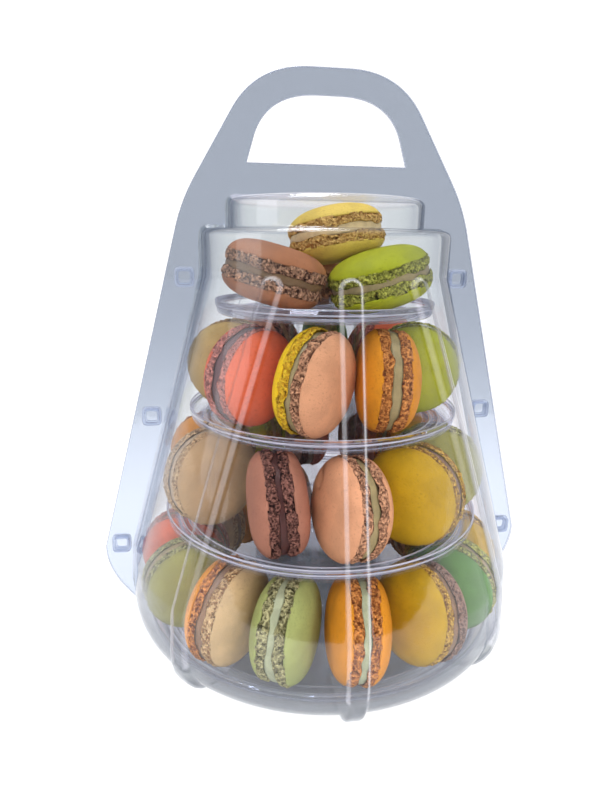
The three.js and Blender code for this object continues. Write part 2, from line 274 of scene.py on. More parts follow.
tree, frosted = new_finish("light_table")
grain = tree.noise(FLOOR_GRAIN, 4.0)
from_tower = tree.node("ShaderNodeVectorMath", {"operation": "LENGTH"}, {0: tree.place()}, "Value")
# Painted shadow: the glow is weaker under the tower; outside the tower the glow paints out its cast shadow.
frosted_surface = {
    "Base Color": grain.mix(FLOOR_SHADE, FLOOR_WHITE),
    "Roughness": 0.6 + 0.2 * grain,
    "Emission Color": from_tower.step(GLOW_START, GLOW_FULL).mix(GLOW_PAINTED_SHADOW, GLOW_WHITE),
    "Emission Strength": 1.0,
}
show(tree.surface(frosted_surface))

floor_mesh = bpy.data.meshes.new("studio_floor")
half_side = FLOOR_SIDE / 2
front_corners = [(-half_side, FLOOR_FRONT, 0), (half_side, FLOOR_FRONT, 0)]
back_corners = [(half_side, half_side, 0), (-half_side, half_side, 0)]
floor_mesh.from_pydata(front_corners + back_corners, [], [(0, 1, 2, 3)])
floor_mesh.materials.append(frosted)
studio_floor = bpy.data.objects.new("studio_floor", floor_mesh)
scene.collection.objects.link(studio_floor)
studio_floor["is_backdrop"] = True

world = bpy.data.worlds.new("studio")
world.use_nodes = True
world.node_tree.nodes.clear()
sky = Wire(world.node_tree)
direction = sky.node("ShaderNodeTexCoord", out="Generated")
depth = sky.node("ShaderNodeSeparateXYZ", sockets={"Vector": direction}, out="Y")
walls = depth.step(*DARK_EDGE).mix(DARK_SIDE, WALL_WHITE)
seen = sky.node("ShaderNodeLightPath", out="Is Camera Ray")
backdrop = sky.node("ShaderNodeBackground", sockets={"Color": seen.mix(walls, BACKDROP_WHITE)})
show(backdrop, "ShaderNodeOutputWorld")
scene.world = world
scene.view_settings.view_transform = "Standard"
print("floor", FLOOR_SIDE, "m wide")

# %% Lamps
TOWER_MIDDLE = Vector((0, 0, 0.11))
SOFT_BOXES = {
    "overhead": {"place": (-0.1, -0.1, 0.9), "size": (0.8, 0.8), "power": 4.9, "mirrored": False},
    "front_left": {"place": (-0.6, -0.9, 0.6), "size": (0.6, 0.6), "power": 3.9, "mirrored": False},
    "front_right": {"place": (0.7, -0.9, 0.45), "size": (0.6, 0.6), "power": 5.0, "mirrored": False},
    "front_fill": {"place": (-0.1, -1.1, 0.25), "size": (0.6, 0.4), "power": 5.9, "mirrored": False},
    "window": {"place": (-1.17, -0.19, 0.45), "size": (0.6, 0.8), "power": 2.0, "mirrored": True},
    "gleam": {"place": (-0.1, 0.1, 0.95), "size": (0.5, 0.3), "power": 9.0, "mirrored": True},
}
CEILING_POWER = 1.0
CEILING_SPREAD = math.radians(100)
for name, box in SOFT_BOXES.items():
    lamp = bpy.data.lights.new(name, "AREA")
    lamp.shape = "RECTANGLE"
    lamp.size, lamp.size_y = box["size"]
    lamp.energy = box["power"]
    soft_box = bpy.data.objects.new(name, lamp)
    soft_box.location = box["place"]
    soft_box.rotation_euler = (TOWER_MIDDLE - soft_box.location).to_track_quat("-Z", "Y").to_euler()
    soft_box.visible_glossy = box["mirrored"]
    soft_box.visible_diffuse = not box["mirrored"]
    scene.collection.objects.link(soft_box)
ceiling = bpy.data.objects.new("ceiling", bpy.data.lights.new("ceiling", "SUN"))
ceiling.data.energy = CEILING_POWER
ceiling.data.angle = CEILING_SPREAD
ceiling.visible_glossy = False
scene.collection.objects.link(ceiling)
print("lamps:", ", ".join(SOFT_BOXES))

# %% [markdown]
# ## A mould for meshes
# Most pieces here are sheets or skins whose points lie in rows: rings of a macaron, turns of a tray,
# strips of the carrier's wall. So one small helper takes rows of points and makes the quads between
# them, gathers any number of such skins into one mesh with a finish for each, and welds points that fall
# together, as at the pole of a dome.

# %% Mould
WELD = 1e-6


class Mould:
    """Gathers rows of points into one mesh, each skin with its own finish."""

    def __init__(self):
        self.points = []
        self.faces = []
        self.finishes = []
        self.crags = []

    def skin(self, rows, finish=0, round_ends=False, crags=None):
        """Quads between rows of points, which close round, and the last row may meet the first."""
        start = sum(len(part) for part in self.points)
        count, across = rows.shape[:2]
        index = start + np.arange(count * across).reshape(count, across)
        index = np.concatenate([index, index[:, :1]], axis=1)
        if round_ends:
            index = np.concatenate([index, index[:1]], axis=0)
        quads = np.stack([index[:-1, :-1], index[:-1, 1:], index[1:, 1:], index[1:, :-1]], axis=-1)
        self.points.append(rows.reshape(-1, 3))
        self.crags.append(np.ones(count * across) if crags is None else crags.reshape(-1))
        self.faces.extend(quads.reshape(-1, 4).tolist())
        self.finishes.append(np.broadcast_to(finish, quads.shape[:2]).reshape(-1))

    def cast(self, name, materials, flat=None):
        """The finished object, with its points welded, its face directions agreeing and one finish flat."""
        mesh = bpy.data.meshes.new(name)
        mesh.from_pydata(np.concatenate(self.points), [], self.faces)
        mesh.polygons.foreach_set("material_index", np.concatenate(self.finishes).astype(np.int32))
        mesh.attributes.new("crag", "FLOAT", "POINT")
        mesh.attributes["crag"].data.foreach_set("value", np.concatenate(self.crags).astype(np.float32))
        for material in materials:
            mesh.materials.append(material)
        shape = bmesh.new()
        shape.from_mesh(mesh)
        bmesh.ops.remove_doubles(shape, verts=shape.verts, dist=WELD)
        bmesh.ops.dissolve_degenerate(shape, edges=shape.edges, dist=WELD)
        bmesh.ops.recalc_face_normals(shape, faces=shape.faces)
        for face in shape.faces:
            face.smooth = face.material_index != flat
        shape.to_mesh(mesh)
        shape.free()
        piece = bpy.data.objects.new(name, mesh)
        scene.collection.objects.link(piece)
        return piece


def settle(piece, *nodes):
    """Makes a piece ride with the tower and stand for its CAD nodes, which are hidden."""
    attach(piece, "root")
    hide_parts(*nodes)


print("mould ready")

# %% [markdown]
# ## Noise for crumbs
# A baked foot is all pores and crumbs, and they have to be real relief, because they show at the edge of
# every macaron. Blender has noise for shaders, but a mesh needs it in Python: random numbers on a grid,
# with smooth blending between them. One seeded grid serves all, so that every run bakes the same
# macarons.

# %% Noise
NOISE_SIDE = 48
NOISE_SEED = 11
noise_grid = np.random.default_rng(NOISE_SEED).random((NOISE_SIDE, NOISE_SIDE, NOISE_SIDE))


def eased(share):
    """A share from 0 to 1 that starts and ends gently."""
    return share * share * (3 - 2 * share)


def soft_step(values, low, high):
    return eased(np.clip((values - low) / (high - low), 0, 1))


def noise_at(points, width):
    """Smooth noise from 0 to 1 at points in metres, with lumps about as wide as given."""
    spots = points / width
    low = np.floor(spots).astype(int)
    share = eased(spots - low)
    total = np.zeros(points.shape[:-1])
    for corner in itertools.product((0, 1), repeat=3):
        weight = np.prod(np.where(corner, share, 1 - share), axis=-1)
        x, y, z = np.moveaxis((low + corner) % NOISE_SIDE, -1, 0)
        total += weight * noise_grid[x, y, z]
    return total


print("noise grid of", noise_grid.size, "values")

# %% [markdown]
# ## Finishes of a macaron
# A shell is dry, smooth and matt, with faint clouds and fine specks of almond skin, so its colour moves
# a little around one tone. A foot is the same batter burst open: its crumbs are pale, with a painted
# highlight on their tops, and its pores are dark with painted shade; the mesh itself says which is which
# by an attribute called crag. A filling is a dense paste, a little moister and smoother.

# %% Macaron finishes
CLOUD_EDGE = (0.35, 0.65)
SHELL_CLOUDS, SHELL_DIMPLES = 9 * MM, 1.8 * MM
SHELL_SPECKS, SPECK_EDGE = 0.8 * MM, (0.61, 0.7)
SHELL_GRAIN, FLECK_EDGE = 0.35 * MM, (0.5, 0.75)
FOOT_GRAIN, FOOT_CRUMBS, FOOT_PITS, FOOT_CAVES = 0.4 * MM, 0.55 * MM, 0.6 * MM, 1.2 * MM
FILLING_CLOUDS, FILLING_GRAIN = 4 * MM, 0.6 * MM


def toned(base, share):
    """A colour made darker by a share below 1, or lighter by one above it."""
    return tuple(min(value * share, 1.0) for value in base)


def show_baked(tone, roughness, normal, specular):
    sockets = {"Base Color": tone, "Roughness": roughness, "Normal": normal}
    show(tone.surface(sockets | {"Specular IOR Level": specular}))


def shell_finish(name, base):
    tree, material = new_finish(name)
    clouds = tree.noise(SHELL_CLOUDS, 3.0).step(*CLOUD_EDGE)
    specks = tree.noise(SHELL_SPECKS, 1.0).step(*SPECK_EDGE)
    grain = tree.noise(SHELL_GRAIN, 3.0)
    tone = clouds.mix(toned(base, 0.9), toned(base, 1.06))
    tone = (specks * 0.55).mix(tone, toned(base, 0.6))
    tone = (grain.step(*FLECK_EDGE) * 0.3).mix(tone, toned(base, 1.25))
    relief = grain + 0.8 * tree.noise(SHELL_DIMPLES, 3.0)
    show_baked(tone, 0.52 + 0.12 * clouds, relief.bump(0.6, 0.3 * MM), 0.1)
    return material


def foot_finish(name, crumb, pore_shade):
    tree, material = new_finish(name)
    crag = tree.node("ShaderNodeAttribute", {"attribute_name": "crag"}, out="Fac")
    grain = tree.noise(FOOT_GRAIN)
    crumbs = tree.dots(FOOT_CRUMBS)
    pits = tree.dots(FOOT_PITS)
    caves = tree.dots(FOOT_CAVES)
    # Painted shade: sunk places, by the crag attribute, and pits and caves take the dark pore tone; crumb
    # tops get a painted highlight.
    tone = (crag + 0.8 * grain - 0.4).step(0.0, 0.7).mix(pore_shade, crumb)
    tone = (crumbs * 0.8).mix(tone, toned(crumb, 1.45))
    tone = (pits * 0.75).mix(tone, pore_shade)
    tone = (caves * 0.35).mix(tone, pore_shade)
    relief = crumbs + 0.6 * grain - 1.2 * pits - 1.5 * caves
    show_baked(tone, 0.82 + 0.1 * grain, relief.bump(0.9, 0.35 * MM), 0.2)
    return material


def filling_finish(name, base):
    tree, material = new_finish(name)
    clouds = tree.noise(FILLING_CLOUDS, 4.0).step(*CLOUD_EDGE)
    grain = tree.noise(FILLING_GRAIN, 3.0)
    tone = clouds.mix(toned(base, 0.86), toned(base, 1.08))
    show_baked(tone, 0.42 + 0.15 * clouds, grain.bump(0.3, 0.2 * MM), 0.5)
    return material


# Each shell's own tone, then its foot's crumb tone and the painted shade of its pores.
SHELLS = {
    "lime": ((0.40, 0.42, 0.02), (0.46, 0.45, 0.08), (0.17, 0.165, 0.025)),
    "pistachio": ((0.35, 0.38, 0.13), (0.48, 0.44, 0.22), (0.10, 0.092, 0.035)),
    "olive": ((0.31, 0.295, 0.078), (0.44, 0.42, 0.18), (0.14, 0.13, 0.05)),
    "leaf": ((0.105, 0.25, 0.05), (0.42, 0.42, 0.12), (0.12, 0.14, 0.04)),
    "yellow": ((0.52, 0.315, 0.01), (0.62, 0.38, 0.06), (0.24, 0.10, 0.02)),
    "butter": ((0.76, 0.55, 0.12), (0.74, 0.46, 0.15), (0.42, 0.21, 0.06)),
    "lemon": ((0.86, 0.56, 0.02), (0.82, 0.5, 0.03), (0.66, 0.34, 0.02)),
    "orange": ((0.69, 0.262, 0.018), (0.68, 0.27, 0.07), (0.23, 0.055, 0.012)),
    "peach": ((0.71, 0.345, 0.185), (0.66, 0.34, 0.19), (0.16, 0.068, 0.04)),
    "beige": ((0.59, 0.40, 0.20), (0.64, 0.43, 0.22), (0.30, 0.14, 0.05)),
    "sand": ((0.46, 0.29, 0.138), (0.62, 0.42, 0.22), (0.34, 0.18, 0.07)),
    "coral": ((0.78, 0.15, 0.065), (0.66, 0.24, 0.19), (0.3, 0.1, 0.085)),
    "cocoa": ((0.40, 0.17, 0.11), (0.28, 0.12, 0.09), (0.02, 0.006, 0.005)),
    "chestnut": ((0.43, 0.175, 0.085), (0.52, 0.28, 0.17), (0.10, 0.045, 0.03)),
    "mauve": ((0.36, 0.21, 0.15), (0.38, 0.23, 0.17), (0.12, 0.06, 0.045)),
    "tan": ((0.55, 0.36, 0.11), (0.46, 0.29, 0.12), (0.20, 0.10, 0.04)),
}
FILLINGS = {
    "sage": (0.35, 0.265, 0.12),
    "mint": (0.39, 0.41, 0.25),
    "taupe": (0.24, 0.135, 0.065),
    "plum": (0.27, 0.15, 0.08),
    "damson": (0.13, 0.06, 0.065),
    "chocolate": (0.07, 0.02, 0.016),
    "custard": (0.68, 0.50, 0.26),
    "fawn": (0.50, 0.35, 0.21),
}
shell_materials = {}
foot_materials = {}
for name, (shell, crumb, pore_shade) in SHELLS.items():
    shell_materials[name] = shell_finish(f"shell_{name}", shell)
    foot_materials[name] = foot_finish(f"foot_{name}", crumb, pore_shade)
filling_materials = {name: filling_finish(f"filling_{name}", base) for name, base in FILLINGS.items()}
print(len(shell_materials), "shells and", len(filling_materials), "fillings")

# %% [markdown]
# ## Which macaron is which
# Bakers sandwich shells of one flavour or of two, so each macaron lists its first shell, its filling and
# its second shell. On the rings the first shell is the one on the left as seen from outside, and on the
# top tray it is the lower one. What the photograph hides goes on in the same colours.

# %% Flavours
FLAVOURS = {
    "low": [
        "olive sage olive", "orange plum beige", "pistachio mint pistachio", "orange mint orange",
        "yellow plum mauve", "leaf sage lime", "yellow custard yellow", "peach fawn peach",
        "cocoa chocolate cocoa", "pistachio mint pistachio", "peach sage yellow",
        "orange fawn orange", "beige plum beige", "coral plum coral",
    ],
    "second": [
        "sand fawn sand", "cocoa chocolate cocoa", "peach sage peach", "yellow plum yellow",
        "olive sage olive", "orange mint orange", "cocoa chocolate cocoa", "coral plum cocoa",
        "lime sage lime", "tan custard orange",
    ],
    "third": [
        "coral damson coral", "lemon sage peach", "orange sage orange", "lime mint lime",
        "coral fawn coral", "leaf sage leaf", "cocoa taupe cocoa", "tan custard tan",
    ],
    "top": [
        "chestnut taupe chestnut", "lime sage lime", "peach fawn peach", "butter custard butter",
    ],
}
print(sum(len(tier) for tier in FLAVOURS.values()), "macarons")

# %% [markdown]
# ## Seats
# The frame already holds every macaron, so its place is read from its solid and nothing is fitted. A
# macaron is flat, so the direction in which its points spread least is its axis. That direction could
# point either way: on a ring it is turned to run anticlockwise as seen from above, and on the top tray
# to point up.


# %% Seat of a macaron
def seat_of(node, ring):
    """The middle, three directions with the axis last, radius and half height of a macaron's solid."""
    points = np.array([vertex.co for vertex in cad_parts[node].data.vertices])
    middle = (points.min(axis=0) + points.max(axis=0)) / 2
    directions = np.linalg.eigh(np.cov((points - middle).T))[1]
    axis = directions[:, 0]
    along = np.array([-middle[1], middle[0], 0]) if ring else np.array([0, 0, 1])
    axis = axis * np.sign(axis @ along)
    side = np.cross(axis, [0, 0, 1] if ring else [1, 0, 0])
    side = side / np.linalg.norm(side)
    turns = np.stack([side, np.cross(axis, side), axis])
    local = (points - middle) @ turns.T
    lift = (local[:, 2].min() + local[:, 2].max()) / 2
    return middle + lift * axis, turns, np.hypot(local[:, 0], local[:, 1]).max(), np.ptp(local[:, 2]) / 2


print("first seat at", in_mm(seat_of("macaron_low_01", True)[0]), "mm")

# %% [markdown]
# ## Baking the macarons
# A macaron could be one turned profile, but its parts want different meshes: the dome is smooth and
# needs few points, while the foot is craggy and needs many. So the two domes, two feet and the filling
# are closed skins of their own that reach a little into each other, as the real ones do. The dome
# follows a flattened ellipse. The foot is pushed in and out by noise, with deep pores where a finer
# noise is high. Every shell is a little oval and tilted, because no two are piped alike.

# %% Dome of a shell
ROUNDNESS = 2.75
ROUNDNESS_SPREAD = 0.3
LIP_SHARE = 0.47
LIP_WIDTH = 1.01
UNDER_LIP_WIDTHS = np.array([1, 0.985, 0.95, 0])
UNDER_LIP_DROPS = np.array([0.03, 0.05, 0.05, 0])
DOME_AROUND, DOME_ROWS = 72, 12
DOME_WAVE = 0.3 * MM
WAVE_WIDTH, RIPPLE_WIDTH = 9 * MM, 2.5 * MM
RIPPLE_SHARE = 0.25
DENTS = {"macaron_second_03": (-10 * MM, -10 * MM)}
DENT_WIDTH, DENT_DEPTH = 3.0 * MM, 4.2 * MM


def round_angles(count):
    """Evenly spaced angles once round."""
    return np.linspace(0, 2 * math.pi, count, endpoint=False)


def rings(radii, heights, around):
    """Rows of points round an axis, from each row's radius, or its radii, and its height."""
    angle = round_angles(around)
    radii = np.broadcast_to(radii.reshape(len(radii), -1), (len(radii), around))
    heights = np.broadcast_to(heights[:, None], radii.shape)
    return np.stack([radii * np.cos(angle), radii * np.sin(angle), heights], axis=-1)


def lip_radius(radius, roundness):
    """How wide a shell is where its dome ends and its foot begins."""
    return LIP_WIDTH * radius * (1 - LIP_SHARE**roundness) ** (1 / roundness)


def dome_rows(radius, half, roundness, seed, dent=None):
    """A smooth shell from its crown to the lip that folds in over the foot, closed, perhaps dented."""
    crown = np.linspace(0, 1, DOME_ROWS)
    lip_angle = math.acos(LIP_SHARE ** (roundness / 2))
    heights = half * np.cos(crown * lip_angle) ** (2 / roundness)
    radii = LIP_WIDTH * radius * np.sin(crown * lip_angle) ** (2 / roundness)
    radii = np.concatenate([radii, lip_radius(radius, roundness) * UNDER_LIP_WIDTHS])
    heights = np.concatenate([heights, half * (LIP_SHARE - UNDER_LIP_DROPS)])
    rows = rings(radii, heights, DOME_AROUND)
    waves = noise_at(rows + seed, WAVE_WIDTH) - 0.5
    ripples = noise_at(rows + seed, RIPPLE_WIDTH) - 0.5
    push = (waves + RIPPLE_SHARE * ripples) * DOME_WAVE * soft_step(rows[..., 2], 0, LIP_SHARE * half)
    if dent is not None:
        beside = np.linalg.norm(rows[..., :2] - np.array(dent), axis=-1)
        push -= DENT_DEPTH * np.exp(-((beside / DENT_WIDTH) ** 2))
    away = rows / np.maximum(np.linalg.norm(rows, axis=-1, keepdims=True), WELD)
    return rows + away * push[..., None]


print("triangles in a dome:", 2 * DOME_AROUND * (DOME_ROWS + len(UNDER_LIP_WIDTHS) - 1))

# %% Foot and filling
FOOT_TOP = 0.475
FOOT_END = 0.115
FOOT_BULGE = 0.022
FOOT_SAG, SAG_WIDTH = 0.16, 4 * MM
FOOT_AROUND, FOOT_ROWS = 256, 13
LUMP_WIDTH, CRUMB_WIDTH = 1.6 * MM, 0.7 * MM
CRAG_DEPTH = 0.55 * MM
PORE_WIDTH, PORE_EDGE, PORE_DEPTH = 0.9 * MM, (0.6, 0.76), 0.9 * MM
CLEFT_WIDTH, CLEFT_EDGE, CLEFT_DEPTH = 2.6 * MM, (0.5, 0.66), 1.3 * MM
FILLING_AROUND, FILLING_ROWS = 96, 6
FILLING_SET_BACK = 0.94
FILLING_BULGE = 0.012
FILLING_OVERLAP = 0.06
FILLING_SWELL, SWELL_WIDTH = 0.035, 6 * MM
LEVEL = np.array([1, 1, 0])
DRAWN_OUT = np.array([1, 1, 0.3])


def foot_rows(radius, half, roundness, seed):
    """The burst, craggy foot under a shell's lip, and how far each of its points stands out."""
    down = np.linspace(0, 1, FOOT_ROWS)
    bulge = lip_radius(radius, roundness) + radius * FOOT_BULGE * np.sin(math.pi * down) ** 0.5
    heights = half * (FOOT_TOP + (FOOT_END - FOOT_TOP) * down)
    rows = rings(bulge, heights, FOOT_AROUND)
    lumps = 1.1 * noise_at(rows + seed, LUMP_WIDTH) + 1.7 * noise_at(rows + seed, CRUMB_WIDTH) - 1.4
    pores = soft_step(noise_at(rows + 2 * seed, PORE_WIDTH), *PORE_EDGE)
    under_lip = np.clip(1 - 2.2 * down, 0, 1)[:, None]
    clefts = soft_step(noise_at(rows + 3 * seed, CLEFT_WIDTH), *CLEFT_EDGE) * under_lip
    edge = np.sin(math.pi * down)[:, None] ** 0.35
    push = (lumps * CRAG_DEPTH - pores * PORE_DEPTH) * edge - clefts * CLEFT_DEPTH
    outward = rows * LEVEL / bulge[:, None, None]
    sag = (noise_at(rows * LEVEL + seed, SAG_WIDTH) - 0.5) * FOOT_SAG * half * down[:, None]
    rows = rows + outward * push[..., None]
    rows[..., 2] += sag
    return rows, np.clip(0.55 + 0.4 * lumps - 0.8 * pores - 0.9 * clefts, 0, 1)


def filling_rows(radius, half, seed):
    """The paste between the feet, bulging a little, closed across inside."""
    up = np.linspace(-1, 1, FILLING_ROWS)
    radii = radius * (FILLING_SET_BACK + FILLING_BULGE * (1 - up**2))
    radii = np.concatenate([[0], radii, [0]])
    heights = half * (FOOT_END + FILLING_OVERLAP) * np.concatenate([[-1], up, [1]])
    rows = rings(radii, heights, FILLING_AROUND)
    swell = 1 + FILLING_SWELL * (noise_at(rows * DRAWN_OUT + seed, SWELL_WIDTH) - 0.5)
    return rows * np.stack([swell, swell, np.ones_like(swell)], axis=-1)


print("triangles in a foot:", 2 * FOOT_AROUND * FOOT_ROWS)

# %% [markdown]
# ## One macaron after another
# A seeded generator for each macaron decides its small faults. The skins are made lying flat about the
# origin and then carried to the seat, so the same code serves those that stand and those that lie.

# %% Bake
OVAL = 0.012
LEAN = math.radians(1.6)


def noise_spot(draw):
    """A random place in the noise, so that no two skins are alike."""
    return draw.uniform(0.5, 1.5, 3) * NOISE_SIDE * MM


def uneven(draw, side):
    """A small lean and oval of one shell, as a matrix for points that lie flat."""
    lean = Matrix.Rotation(draw.uniform(-LEAN, LEAN), 3, "X")
    lean = lean @ Matrix.Rotation(draw.uniform(-LEAN, LEAN), 3, "Y")
    wide = 1 + draw.uniform(-OVAL, OVAL)
    flip = np.diag([wide, 2 - wide, side])
    return np.array(lean) @ flip


def bake(node, ring, flavour, number):
    draw = np.random.default_rng(number)
    middle, turns, radius, half = seat_of(node, ring)
    first, filling, second = flavour.split()
    mould = Mould()
    materials = []
    for shell, side in ((first, -1), (second, 1)):
        seed = noise_spot(draw)
        shape = uneven(draw, side)
        roundness = ROUNDNESS + draw.uniform(-ROUNDNESS_SPREAD, ROUNDNESS_SPREAD)
        dome = dome_rows(radius, half, roundness, seed, DENTS.get(node) if side < 0 else None)
        foot, crags = foot_rows(radius, half, roundness, seed)
        mould.skin(dome @ shape.T @ turns + middle, len(materials))
        materials.append(shell_materials[shell])
        mould.skin(foot @ shape.T @ turns + middle, len(materials), round_ends=True, crags=crags)
        materials.append(foot_materials[shell])
    paste = filling_rows(radius, half, noise_spot(draw))
    mould.skin(paste @ turns + middle, len(materials))
    materials.append(filling_materials[filling])
    piece = mould.cast(node.replace("macaron", "baked"), materials)
    settle(piece, node)
    return piece


macarons = []
for tier, flavours in FLAVOURS.items():
    for place, flavour in enumerate(flavours, start=1):
        node = f"macaron_{tier}_{place:02d}"
        macarons.append(bake(node, tier != "top", flavour, len(macarons)))
print(len(macarons), "macarons of about", len(macarons[0].data.polygons), "faces")

# %% [markdown]
# ## Clear plastic
# The carrier and trays are thin sheet. Real refraction through so many thin walls costs much light and
# time and bends almost nothing, so the sheet is a Transparent shader with a mirror mixed in. How much it
# mirrors follows from the slant of the view: about a thirtieth face on, little more for most slants, and
# everything at a glance. The node that Blender has for this isn't used, because on the inner face of
# each sheet it would mirror all light at a slant. A second, bluer Transparent shader takes over towards
# the rims, where the eye looks along the sheet, and faint waves in the sheet make its highlights run
# unevenly.

# %% Plastic finish
MIRROR_FACE_ON = 0.035
MIRROR_POWER = 5.0
MIRROR_TONE = (0.97, 0.98, 1.0)
SHEET_WAVES, SHEET_SCUFFS = 16 * MM, 1.5 * MM
SHEETS_IN_LINE = 48


def plastic_finish(name, clear, rim, rim_power, shades=()):
    """Thin clear sheet, tinted face on and at its rims, with painted shade that comes in over a height."""
    tree, material = new_finish(name)
    scuffs = tree.noise(SHEET_SCUFFS, 5.0)
    slant = tree.slant()
    mirror = MIRROR_FACE_ON + (1 - MIRROR_FACE_ON) * slant**MIRROR_POWER
    gloss = {
        "Base Color": scuffs.mix(toned(MIRROR_TONE, 0.95), MIRROR_TONE),
        "Metallic": 1.0,
        "Roughness": 0.03 + 0.06 * scuffs,
        "Normal": tree.noise(SHEET_WAVES).bump(0.25, 0.6 * MM),
    }
    height = tree.node("ShaderNodeSeparateXYZ", sockets={"Vector": tree.place()}, out="Z")
    through = tree.tinted(clear)
    for shade, start, end in shades:
        through = height.step(start, end).blend(through, tree.tinted(shade))
    through = (slant**rim_power).blend(through, tree.tinted(rim))
    show(mirror.blend(through, tree.surface(gloss)))
    return material


# Painted shade: the wall darkens towards its head, where the carrier mirrors the dark room, and towards its
# base and lowest edge, where it shows the shadowed floor; the flange darkens towards its top.
HEAD_SHADE = ((0.872, 0.886, 0.896), 110 * MM, 180 * MM)
BASE_SHADE = ((0.835, 0.845, 0.852), 34 * MM, 12 * MM)
LOW_SHADE = ((0.7, 0.71, 0.73), 10 * MM, 3 * MM)
WALL_SHADES = [HEAD_SHADE, BASE_SHADE, LOW_SHADE]
FLANGE_CLEAR = (0.89, 0.91, 0.945)
FLANGE_SHADES = [((0.783, 0.804, 0.839), 52 * MM, 165 * MM)]
wall_plastic = plastic_finish("wall_plastic", (0.96, 0.963, 0.972), (0.42, 0.45, 0.52), 3.6, WALL_SHADES)
tray_plastic = plastic_finish("tray_plastic", (0.95, 0.95, 0.96), (0.45, 0.45, 0.58), 6.0)
flange_plastic = plastic_finish("flange_plastic", FLANGE_CLEAR, (0.5, 0.52, 0.66), 6.0, FLANGE_SHADES)
scene.cycles.transparent_max_bounces = SHEETS_IN_LINE
print("clear plastic ready")


# %% Edges of clear sheet
def edge_finish(name, tone, face_on, along, painted_glow=0.0):
    """A rolled, folded or cut edge, milky where the eye looks along it, with a painted glow if given."""
    tree, material = new_finish(name)
    streaks = tree.noise(5 * MM, 3.0)
    milky = {
        "Base Color": streaks.mix(toned(tone, 0.88), tone),
        "Roughness": 0.12 + 0.1 * streaks,
        "Emission Color": colour(tone),
        "Emission Strength": painted_glow,
    }
    share = face_on + (along - face_on) * tree.slant() ** 2
    show(share.blend(tree.tinted(tone), tree.surface(milky)))
    return material


# Painted highlights: the white milk of the beads, channel folds and cap top, and the fold's glow, stand for
# the highlights that these edges catch.
edge_highlight_plastic = edge_finish("edge_highlight_plastic", (0.9, 0.9, 0.97), 0.4, 0.3)
low_edge_highlight_plastic = edge_finish("low_edge_highlight_plastic", (0.82, 0.84, 0.89), 0.22, 0.22)
fold_highlight_plastic = edge_finish("fold_highlight_plastic", (0.96, 0.96, 0.985), 0.06, 0.4, 0.22)
cut_plastic = edge_finish("cut_plastic", (0.66, 0.69, 0.78), 0.3, 0.4)
snap_plastic = edge_finish("snap_plastic", (0.75, 0.785, 0.86), 0.06, 0.37)
print("edges ready")

# %% [markdown]
# ## Profiles with round corners
# Sheet that is drawn over a mould has no sharp corner. So every profile below is a short list of
# corners, each with its own radius, and one helper puts an arc in each corner and points along the
# straight stretches between.

# %% Rounded profiles
ARC_STEP = math.radians(12)
ARC_SHORT = 0.25 * MM


def corner_arc(before, corner, after, radius):
    """Points of the arc that rounds one corner of a profile."""
    to_before = (before - corner) / np.linalg.norm(before - corner)
    to_after = (after - corner) / np.linalg.norm(after - corner)
    opening = math.acos(np.clip(to_before @ to_after, -1, 1))
    reach = radius / math.tan(opening / 2)
    bisector = to_before + to_after
    centre = corner + bisector / np.linalg.norm(bisector) * radius / math.sin(opening / 2)
    start, end = corner + to_before * reach - centre, corner + to_after * reach - centre
    sweep = math.pi - opening
    steps = max(2, math.ceil(min(sweep / ARC_STEP, sweep * radius / ARC_SHORT)))
    share = np.linspace(0, 1, steps + 1)[:, None]
    return centre + (np.sin((1 - share) * sweep) * start + np.sin(share * sweep) * end) / math.sin(sweep)


def rounded(corners, longest):
    """A profile through corners of (radius, height, rounding), with no stretch over the longest."""
    points = np.array([corner[:2] for corner in corners], float)
    path = [points[0]]
    for place in range(1, len(points) - 1):
        rounding = corners[place][2]
        if rounding > 0:
            path.extend(corner_arc(*points[place - 1 : place + 2], rounding))
        else:
            path.append(points[place])
    path.append(points[-1])
    fine = [path[0]]
    for start, end in zip(path, path[1:]):
        steps = max(1, math.ceil(np.linalg.norm(end - start) / longest))
        fine.extend(start + (end - start) * step / steps for step in range(1, steps + 1))
    return np.array(fine)


def profile_normals(profile):
    """Directions across a profile, to the right of the way it runs."""
    along = np.gradient(profile, axis=0)
    across = np.stack([along[:, 1], -along[:, 0]], axis=-1)
    return across / np.linalg.norm(across, axis=-1, keepdims=True)


print("rounded profiles ready")

# %% [markdown]
# ## The trays
# Each tray is one turned sheet: a hollow column, a floor with shallow rings pressed into it for
# stiffness, and a lip rolled at its edge. The lip and the crests of the rings are what catch the light,
# so each gets a bead of its own, whose milky white finish is a painted highlight. The columns are
# fluted, which gives the bright and dark streaks that show between the macarons. All main sizes come
# from the solid's box.

# %% Tray profile
SOLID_SHEET = 1.0 * MM
TRAY_SHEET = 0.8 * MM
TRAY_AROUND = 140
TRAY_STEP = 4 * MM
LIP_HEIGHT = 5.0 * MM
LIP_FOLD = 2.4 * MM
LIP_LEDGE = 0.7 * MM
LIP_FOOT_ROUNDING, LIP_ROUNDING = 0.9 * MM, 0.2 * MM
COLUMNS = {"low": 31 * MM, "second": 22 * MM, "third": 16.6 * MM, "top": 5 * MM}
COLUMN_DRAFT = 1.4 * MM
COLUMN_ROUNDING = 1.2 * MM
RING_PRESSED = 0.5 * MM
RING_PLACES = (10 * MM, 6 * MM)
RING_WIDTH = 1.6 * MM
RING_ROUNDING = 0.3 * MM


